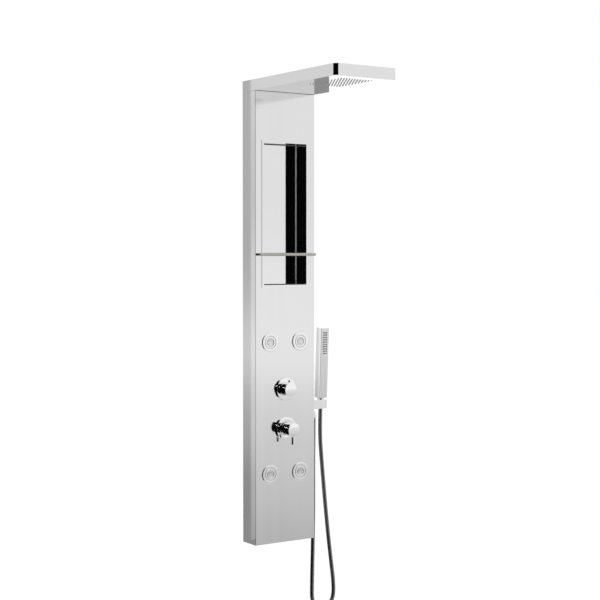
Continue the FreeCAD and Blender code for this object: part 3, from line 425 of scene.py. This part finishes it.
# ------------------------------------------------------------------ studio
# Shades of the surroundings by height: (0 straight down to 1 straight up, brightness).
LEVELS = ((0.0, 0.80), (0.28, 0.80), (0.36, 0.48), (0.40, 0.55), (0.411, 0.65), (0.4285, 0.72), (0.445, 0.79),
          (0.4615, 0.99), (0.48, 0.97), (0.52, 0.91), (1.0, 1.0))
LEFT_LEVELS = ((0.0, 0.40), (0.36, 0.30), (0.415, 0.31), (0.44, 0.46), (0.465, 0.73), (0.50, 0.50), (0.55, 0.52),
               (1.0, 0.60))
RIGHT_LEVEL = 1.1
RIGHT_HEADING, RIGHT_EDGE = 45, (0.50, 0.75)
LEFT_HEADING, LEFT_EDGE = 338, (0.85, 0.95)
DARK_FROM, DARK_TO = 175, 318
DARK_SLOPE = (0.78, 0.66)
DARK_LEVEL = 0.002

FLOOR_LEVEL = -1.45
FLOOR_HALF = 30
FLOOR_GLOW = 0.34


def add_world():
    """A white studio: dark on the camera's side, grey behind the left, dimmer just below the horizon."""
    world = bpy.data.worlds.new("studio")
    bpy.context.scene.world = world
    world.use_nodes = True
    graph = Graph(world.node_tree)
    way = graph.add("ShaderNodeTexCoord").outputs["Generated"]
    height = graph.add("ShaderNodeSeparateXYZ", {0: way}).outputs["Z"]
    rise = graph.range(height, -1, 1, smooth=False)
    right_back = graph.range(graph.dot(way, heading(RIGHT_HEADING)), *RIGHT_EDGE)
    left_back = graph.range(graph.dot(way, heading(LEFT_HEADING)), *LEFT_EDGE)
    dark = graph.math("MULTIPLY", graph.range(graph.dot(way, heading(DARK_FROM + 90)), 0.0, 0.08),
                      graph.range(graph.dot(way, heading(DARK_TO - 90)), 0.0, 0.10))
    dark = graph.math("MULTIPLY", dark, graph.range(graph.math("ABSOLUTE", height), *DARK_SLOPE))
    level = graph.mix(right_back, graph.ramp(rise, LEVELS), RIGHT_LEVEL)
    level = graph.mix(left_back, level, graph.ramp(rise, LEFT_LEVELS))
    level = graph.math("MULTIPLY", level, graph.range(dark, 0, 1, 1, DARK_LEVEL, smooth=False))
    seen = graph.add("ShaderNodeLightPath").outputs["Is Camera Ray"]
    level = graph.mix(seen, level, 1.0)
    shader = graph.add("ShaderNodeBackground", {"Color": (1, 1, 1, 1), "Strength": level})
    graph.add("ShaderNodeOutputWorld", {"Surface": shader.outputs[0]})


def add_sheet(name, corners, material):
    """A flat sheet of the studio, which isn't part of the object."""
    mesh = bpy.data.meshes.new(name)
    mesh.from_pydata(corners, [], [(0, 1, 2, 3)])
    mesh.materials.append(material)
    made = bpy.data.objects.new(name, mesh)
    bpy.context.scene.collection.objects.link(made)
    return made


def add_floor():
    pale = bpy.data.materials.new("floor")
    pale.use_nodes = True
    graph = Graph(pale.node_tree)
    shader = graph.add("ShaderNodeBsdfPrincipled", {
        "Base Color": (0.85, 0.85, 0.85, 1), "Roughness": 0.9, "Emission Color": (1, 1, 1, 1),
        "Emission Strength": FLOOR_GLOW})
    graph.add("ShaderNodeOutputMaterial", {"Surface": shader.outputs[0]})
    corners = [(x * FLOOR_HALF, y * FLOOR_HALF, FLOOR_LEVEL) for x, y in ((-1, -1), (1, -1), (1, 1), (-1, 1))]
    floor = add_sheet("floor", corners, pale)
    floor.visible_glossy = False


def add_lamp(name, place, aim, size, power):
    data = bpy.data.lights.new(name, "AREA")
    data.shape = "DISK"
    data.size = size
    data.energy = power
    lamp = bpy.data.objects.new(name, data)
    lamp.location = place
    lamp.rotation_mode = "QUATERNION"
    lamp.rotation_quaternion = (Vector(aim) - Vector(place)).to_track_quat("-Z", "Y")
    bpy.context.scene.collection.objects.link(lamp)


def add_card(name, low, high, y, shades):
    """An upright card across X that only reflections see; shades holds (height, brightness) pairs."""
    made = bpy.data.materials.new(name)
    made.use_nodes = True
    graph = Graph(made.node_tree)
    place = graph.add("ShaderNodeTexCoord").outputs["Object"]
    height = graph.range(graph.add("ShaderNodeSeparateXYZ", {0: place}).outputs["Z"], -1, 1, smooth=False)
    shade = graph.ramp(height, [(z / 2 + 0.5, brightness) for z, brightness in shades])
    glow = graph.add("ShaderNodeEmission", {"Color": shade})
    graph.add("ShaderNodeOutputMaterial", {"Surface": glow.outputs[0]})
    card = add_sheet(name, [(low[0], y, low[1]), (high[0], y, low[1]), (high[0], y, high[1]),
                            (low[0], y, high[1])], made)
    card.visible_camera = False
    card.visible_diffuse = False
    card.visible_shadow = False


add_world()
add_floor()
add_lamp("small_lamp", heading(212.4, 15) * 30, (0, 0, 0), 0.8, 60)
bpy.context.scene.view_settings.view_transform = "Standard"
add_card("back_card", (0.45, 0.20), (0.644, 1.0), 0.6, [(0.0, 0.28), (1.0, 0.28)])
add_card("side_card", (-0.62, -0.76), (-0.175, 0.95), 0.05, [
    (-0.76, 0.44), (-0.62, 0.51), (-0.35, 0.71), (-0.12, 0.90), (0.1, 0.77), (0.37, 0.67), (0.69, 0.74),
    (0.78, 0.80)])


# ------------------------------------------------------------------ body jets
BALL_RADIUS = 0.016
BALL_CUT = 0.0105
BALL_BACK = 2.0
BALL_BEHIND = 0.008
HOLE_RINGS = ((0.0042, 6), (0.0082, 12))


def front_spot(node, x=None):
    """The point on the column's front before a node's middle, or at x."""
    low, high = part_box(node)
    return Vector(((low.x + high.x) / 2 if x is None else x, FRONT, (low.z + high.z) / 2))


def add_jet(name):
    spot = front_spot("swivel_ring_" + name)
    turned("jet_flange_" + name, [
        (0.0203, -0.0060), (0.0203, 0.0020), (0.0209, 0.0026), (0.0297, 0.0026), (0.0308, 0.0019),
        (0.0310, 0.0), (0.0222, 0.0), (0.0222, -0.0240)], spot, "chrome_soft", "root", "chrome",
        ["jet_housings"], ease=0.0005)
    turned("jet_ring_" + name, [
        (0.0200, -0.0060), (0.0200, 0.0018), (0.0193, 0.0026), (0.0133, 0.0026), (0.0129, 0.0021),
        (0.0139, 0.0006), (0.0154, -0.0024), (0.0163, -0.0060)], spot, "chrome_soft", "swivel_" + name,
        "chrome", ["swivel_ring_" + name], ease=0.0004)
    centre = spot - OUT * BALL_BEHIND
    hollow = BALL_CUT - 0.0004
    dome = ball_arc(BALL_RADIUS, 0, BALL_BACK, math.acos(BALL_CUT / BALL_RADIUS), 24)
    face = [(0.0114, BALL_CUT + 0.0003), (0.0106, hollow), (TINY, hollow)]
    turned("jet_face_" + name, dome + face, centre, "ball_face", "ball_" + name, "jet_plastic",
           ["jet_ball_" + name], ease=0.0004)
    tips = []
    for radius, amount in HOLE_RINGS:
        for angle in turn(amount):
            place = centre + OUT * hollow + Vector((math.cos(angle), 0, math.sin(angle))) * radius
            tips.append(rubber_tip(place, OUT, 0.0008, 0.0009, 10))
    add_piece("jet_tips_" + name, *joined(tips), "rubber", "ball_" + name, "soft_rubber")


# ------------------------------------------------------------------ valves
ROSE_HIGH = 0.0075
DOT_SIDE, DOT_UP = 0.010, 0.026
DOME_RADIUS, DOME_CENTRE = 0.0178, 0.008
LEVER_OUT, LEVER_DOWN = 0.045, 0.012


def rose(name, spot, inner, stands_for):
    turned(name, [(inner, 0.0060), (inner, ROSE_HIGH), (0.0364, ROSE_HIGH), (0.0375, 0.0066), (0.0375, 0.0)],
           spot, "chrome", "root", "chrome", [stands_for], ease=0.0007, count=120)


def add_diverter():
    spot = front_spot("diverter_rose", 0)
    rose("diverter_plate", spot, 0.0060, "diverter_rose")
    turned("diverter_grip", [
        (TINY, 0.0120), (0.0200, 0.0120), (0.0208, 0.0082), (0.0228, 0.0080), (0.0235, 0.0090),
        (0.0235, 0.0326), (0.0221, 0.0340), (TINY, 0.0340)], spot, "chrome", "diverter_knob", "chrome",
        ["diverter_knob"], ease=0.0007, count=120)
    dot = spot + Vector((DOT_SIDE, 0, DOT_UP)) + OUT * (ROSE_HIGH + 0.0001)
    turned("diverter_dot", [(0.0034, -0.0012), (0.0034, 0.0002), (0.0026, 0.0006), (TINY, 0.0008)], dot, "black",
           "root", "black_plastic", ["diverter_index"], ease=0.0003, count=32)


def add_mixer():
    spot = front_spot("mixer_rose", 0)
    rose("mixer_plate", spot, 0.0182, "mixer_rose")
    turned("mixer_cap", ball_arc(DOME_RADIUS, DOME_CENTRE, 2.15, 0.90, 20), spot, "chrome", "root", "chrome",
           ["mixer_dome"], count=96)
    turned("mixer_grip", [
        (0.0100, 0.0300), (0.0190, 0.0290), (0.0192, 0.0158), (0.0213, 0.0155), (0.0225, 0.0166),
        (0.0225, 0.0506), (0.0211, 0.0520), (TINY, 0.0520)], spot, "chrome", "mixer_handle", "chrome",
        ["mixer_handle"], ease=0.0007, count=120)
    top = spot + OUT * LEVER_OUT - UP * LEVER_DOWN
    turned("mixer_lever", [(0.0043, 0.0), (0.0043, 0.0355), (0.0030, 0.0370), (TINY, 0.0370)], top, "chrome",
           "mixer_handle", "chrome", ["lever_pin"], axis=-UP, ease=0.0010, count=40)
    turned("lever_collar", [(0.0043, 0.0092), (0.0054, 0.0096), (0.0054, 0.0108), (0.0043, 0.0116)], top,
           "chrome", "mixer_handle", "chrome", axis=-UP, ease=0.0004, count=40)


# ------------------------------------------------------------------ rain head
NOZZLE_STEP, NOZZLE_COLUMNS = 0.010, 12
NOZZLE_LINE, NOZZLE_LINES = 0.0083, 21


def add_rain_head():
    """Soft nozzles in staggered lines through the arm's underside, on a mat above it."""
    low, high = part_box("nozzle_mat")
    plate_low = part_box("arm_underside_plate")[0].z
    centre_y = (low.y + high.y) / 2
    tips = []
    for line in range(NOZZLE_LINES):
        columns = NOZZLE_COLUMNS - line % 2
        for column in range(columns):
            place = Vector(((column - (columns - 1) / 2) * NOZZLE_STEP,
                            centre_y + (line - (NOZZLE_LINES - 1) / 2) * NOZZLE_LINE, plate_low - 0.0001))
            tips.append(rubber_tip(place, -UP, 0.0019, plate_low - low.z - 0.0001, 12))
    add_piece("rain_tips", *joined(tips), "rubber", "root", "soft_rubber", ["nozzle_mat"])
    bottom, top = plate_low + 0.0013, high.z - 0.0001
    corners = [(low.x, low.y), (high.x, low.y), (high.x, high.y), (low.x, high.y)]
    points = [Vector((x, y, z)) for z in (bottom, top) for x, y in corners]
    add_piece("rain_mat", points, bands(2, 4) + ends(2, 4), "rubber", "root", "soft_rubber", ["nozzle_mat"])


def add_fascia():
    """The arm's polished end: a block with both front corners well rounded and a fine bevel round its edges."""
    low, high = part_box("head_fascia")
    corner, bevel, steps = 0.014, 0.0006, 20
    points = []
    rings = ((low.z, bevel), (low.z + bevel, 0), (high.z - bevel, 0), (high.z, bevel))
    for level, inset in rings:
        radius = corner - inset
        outline = [(low.x + inset, high.y)]
        for side, start in ((-1, math.pi), (1, 1.5 * math.pi)):
            centre = (side * (high.x - corner), low.y + corner)
            for step in range(steps + 1):
                angle = start + math.pi / 2 * step / steps
                outline.append((centre[0] + radius * math.cos(angle), centre[1] + radius * math.sin(angle)))
        outline.append((high.x - inset, high.y))
        points += [Vector((x, y, level)) for x, y in outline]
    count = len(points) // len(rings)
    add_piece("arm_fascia", points, bands(len(rings), count) + ends(len(rings), count), "fascia", "root",
              "polished_steel", ["head_fascia"], sharp=40)


def add_arm_seam_shade():
    """A dark bead along the line where the arm's underside meets the column's front: painted shade standing in
    for the seam's shadow.
    """
    low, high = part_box("column_front")
    start = Vector((low.x, low.y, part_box("arm_underside_plate")[0].z))
    quarter_round("arm_seam_shade", start, RIGHT, high.x - low.x, (-UP, OUT), 0.0011, "shade_strip", "black_plastic")


# ------------------------------------------------------------------ niche
NICHE_RIM = 0.008
NICHE_GAUGE = 0.0012


def add_niche_beads():
    """Quarter-round beads in the corners of the niche's back: pale welds upright, and dark strips across that
    paint the shade in the top and bottom corners.
    """
    low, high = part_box("niche_box")
    back = high.y - NICHE_GAUGE
    left, right = low.x + NICHE_RIM, high.x - NICHE_RIM
    floor, roof = low.z + NICHE_RIM, high.z - NICHE_RIM
    for name, corner, inward, along, length, radius, finish, slot in (
            ("left", (left, floor), RIGHT, UP, roof - floor, 0.0024, "weld", "polished_steel"),
            ("right", (right, floor), -RIGHT, UP, roof - floor, 0.0024, "weld", "polished_steel"),
            # The top and bottom beads are dark strips that paint the shade along these corners.
            ("top", (left, roof), -UP, RIGHT, right - left, 0.0026, "shade_strip", "black_plastic"),
            ("bottom", (left, floor), UP, RIGHT, right - left, 0.0022, "shade_strip", "black_plastic")):
        start = Vector((corner[0], back, corner[1]))
        quarter_round("niche_bead_" + name, start, along, length, (inward, OUT), radius, finish, slot)


# ------------------------------------------------------------------ hand shower
LEAN = math.radians(3)
GRIP_UP = Vector((0, -math.sin(LEAN), math.cos(LEAN)))
GRIP_OUT = Vector((0, -math.cos(LEAN), -math.sin(LEAN)))
GRIP_BASE = Vector((0.165, -0.041, -0.295))
GRIP_GAP, GRIP_LONG = 0.006, 0.235
SPRAY_DOWN, SPRAY_LONG = 0.012, 0.077
SPRAY_FACE = GRIP_BASE + GRIP_UP * (GRIP_GAP + GRIP_LONG - SPRAY_DOWN - SPRAY_LONG / 2)
SPRAY_OUT = 0.0155
TIP_COLUMN, TIP_ROW, TIP_ROWS = 0.0060, 0.0077, 10
FLUTES, FLUTE_DEEP = 30, 0.00035
KNURL_LOW, KNURL_HIGH = -0.0262, -0.0188


def add_spray_plate():
    """The pale plate under the hand shower's nozzles, with rounded corners and an eased edge."""
    half_x, half_up, corner, steps = 0.0104, 0.0410, 0.002, 6
    rings = ((0.0141, 0.0), (SPRAY_OUT - 0.0004, 0.0), (SPRAY_OUT, 0.0004))
    points = []
    for out, inset in rings:
        for sign_x, sign_up, start in ((1, 1, 0), (-1, 1, 90), (-1, -1, 180), (1, -1, 270)):
            for step in range(steps + 1):
                angle = math.radians(start + 90 * step / steps)
                x = sign_x * (half_x - corner) + (corner - inset) * math.cos(angle)
                up = sign_up * (half_up - corner) + (corner - inset) * math.sin(angle)
                points.append(SPRAY_FACE + RIGHT * x + GRIP_UP * up + GRIP_OUT * out)
    count = len(points) // len(rings)
    add_piece("hand_spray_plate", points, bands(len(rings), count) + ends(len(rings), count), "grey_plastic",
              "handset", "grey_plastic", ["handset_spray_face"])


def add_hand_shower():
    add_spray_plate()
    tips = []
    for column in (-1, 0, 1):
        for row in range(TIP_ROWS):
            place = (SPRAY_FACE + RIGHT * TIP_COLUMN * column + GRIP_UP * (row - (TIP_ROWS - 1) / 2) * TIP_ROW
                     + GRIP_OUT * SPRAY_OUT)
            tips.append(rubber_tip(place, GRIP_OUT, 0.0024, 0.0009, 14))
    add_piece("hand_tips", *joined(tips), "dark_rubber", "handset", "soft_rubber", ["handset_nozzles"])

    def knurled(angle, radius, along):
        flute = FLUTE_DEEP * (0.5 + 0.5 * math.cos(FLUTES * angle))
        return radius - flute if KNURL_LOW < along < KNURL_HIGH else radius

    turned("cone_nut", [
        (0.0040, -0.0276), (0.0088, -0.0280), (0.0096, -0.0270), (0.0098, -0.0262), (0.0102, -0.0258),
        (0.0104, -0.0192), (0.0101, -0.0186), (0.0105, -0.0178), (0.0121, -0.0005), (0.0121, 0.0010),
        (0.0112, 0.0016), (0.0112, 0.0026), (0.0119, 0.0032), (0.0119, 0.0058), (0.0060, 0.0060)],
        GRIP_BASE, "chrome", "handset", "chrome", ["hose_nut_handset"], axis=GRIP_UP, ease=0.0004, count=120,
        shape=knurled)


# ------------------------------------------------------------------ outlet
OUTLET = Vector((0.137, -0.040, -0.338))
ELBOW_BEND, ELBOW_RADIUS, ELBOW_STEPS, ELBOW_SIDES = 0.0095, 0.0090, 12, 40
NUT_FLAT, NUT_NECK = 0.0099, 0.0096


def add_outlet():
    """Elbow from the column's side down to the hose: collar, bent tube, ferrule, then the hose's hexagon nut."""
    elbow_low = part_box("outlet_elbow")[0].z
    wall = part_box("column_sides")[1].x
    line = [Vector((wall + 0.0005, OUTLET.y, OUTLET.z))]
    centre = OUTLET - Vector((ELBOW_BEND, 0, ELBOW_BEND))
    for step in range(ELBOW_STEPS + 1):
        angle = math.pi / 2 * step / ELBOW_STEPS
        line.append(centre + Vector((math.sin(angle), 0, math.cos(angle))) * ELBOW_BEND)
    line.append(Vector((OUTLET.x, OUTLET.y, elbow_low + 0.0030)))
    points = []
    for row, place in enumerate(line):
        other = direction_at(line, row).cross(-OUT).normalized()
        for angle in turn(ELBOW_SIDES):
            points.append(place + (-OUT * math.cos(angle) + other * math.sin(angle)) * ELBOW_RADIUS)
    add_piece("outlet_bend", points, bands(len(line), ELBOW_SIDES), "chrome", "root", "chrome", ["outlet_elbow"])
    turned("outlet_collar", [(0.0090, 0.0032), (0.0110, 0.0030), (0.0125, 0.0018), (0.0125, 0.0)],
           Vector((wall, OUTLET.y, OUTLET.z)), "chrome", "root", "chrome", ["outlet_elbow"], axis=RIGHT,
           ease=0.0008)
    turned("outlet_ferrule", [(0.0090, 0.0), (0.0095, 0.0006), (0.0095, 0.0040), (0.0086, 0.0044)],
           Vector((OUTLET.x, OUTLET.y, elbow_low + 0.0042)), "chrome", "root", "chrome", ["outlet_elbow"],
           axis=-UP, ease=0.0004)

    def hexagon(angle, radius, along):
        flat = NUT_FLAT / math.cos((angle + math.pi / 6) % (math.pi / 3) - math.pi / 6)
        return min(radius, flat) if radius > NUT_NECK else radius

    nut_low, nut_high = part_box("hose_nut_outlet")
    deep = nut_high.z - nut_low.z
    turned("hose_end_nut", [
        (0.0060, 0.0), (0.0098, 0.0), (0.0114, 0.0012), (0.0114, deep * 0.62), (0.0104, deep * 0.72),
        (0.0088, deep * 0.78), (0.0086, deep), (0.0060, deep)], Vector((OUTLET.x, OUTLET.y, nut_high.z)),
        "chrome", "root", "chrome", ["hose_nut_outlet"], axis=-UP, ease=0.0003, count=96, shape=hexagon)


for level in ("upper", "lower"):
    for hand in ("left", "right"):
        add_jet("%s_%s" % (level, hand))
add_diverter()
add_mixer()
add_rain_head()
add_fascia()
add_arm_seam_shade()
add_niche_beads()
add_hand_shower()
add_outlet()


# ------------------------------------------------------------------ finishes of the CAD nodes that stay
CAD_FINISH = {
    "steel_up": ["column_front", "column_sides", "bottom_cap"],
    "steel_along": ["arm_cover"],
    "underside": ["arm_underside_plate"],
    "mirror": ["niche_box", "rail_posts"],
    "rail": ["guard_rail"],
    "grip_chrome": ["handset_body"],
    "chrome_soft": ["handset_holder"],
    "chrome": ["outlet_nut"],
    "zinc": ["frame_tubes", "frame_gussets", "cross_bars", "wall_brackets", "chamber_clamps", "fixing_screws",
             "diverter_grub_screw", "mixer_grub_screw", "mixer_pivot_pin", "diverter_ring_nut"],
    "brass": ["diverter_body", "mixer_body", "diverter_spindle", "mixer_spindle", "mixer_carrier"],
    "copper": ["rain_pipe", "mixer_pipe", "upper_jet_pipe", "lower_jet_pipe", "hand_pipe"],
    "valve_plastic": ["diverter_cartridge", "mixer_cartridge", "rain_chamber", "jet_nuts"],
    "rubber": ["jet_washers"],
}
for finish, names in CAD_FINISH.items():
    for name in names:
        nodes[name].data.materials.clear()
        nodes[name].data.materials.append(FINISH[finish])
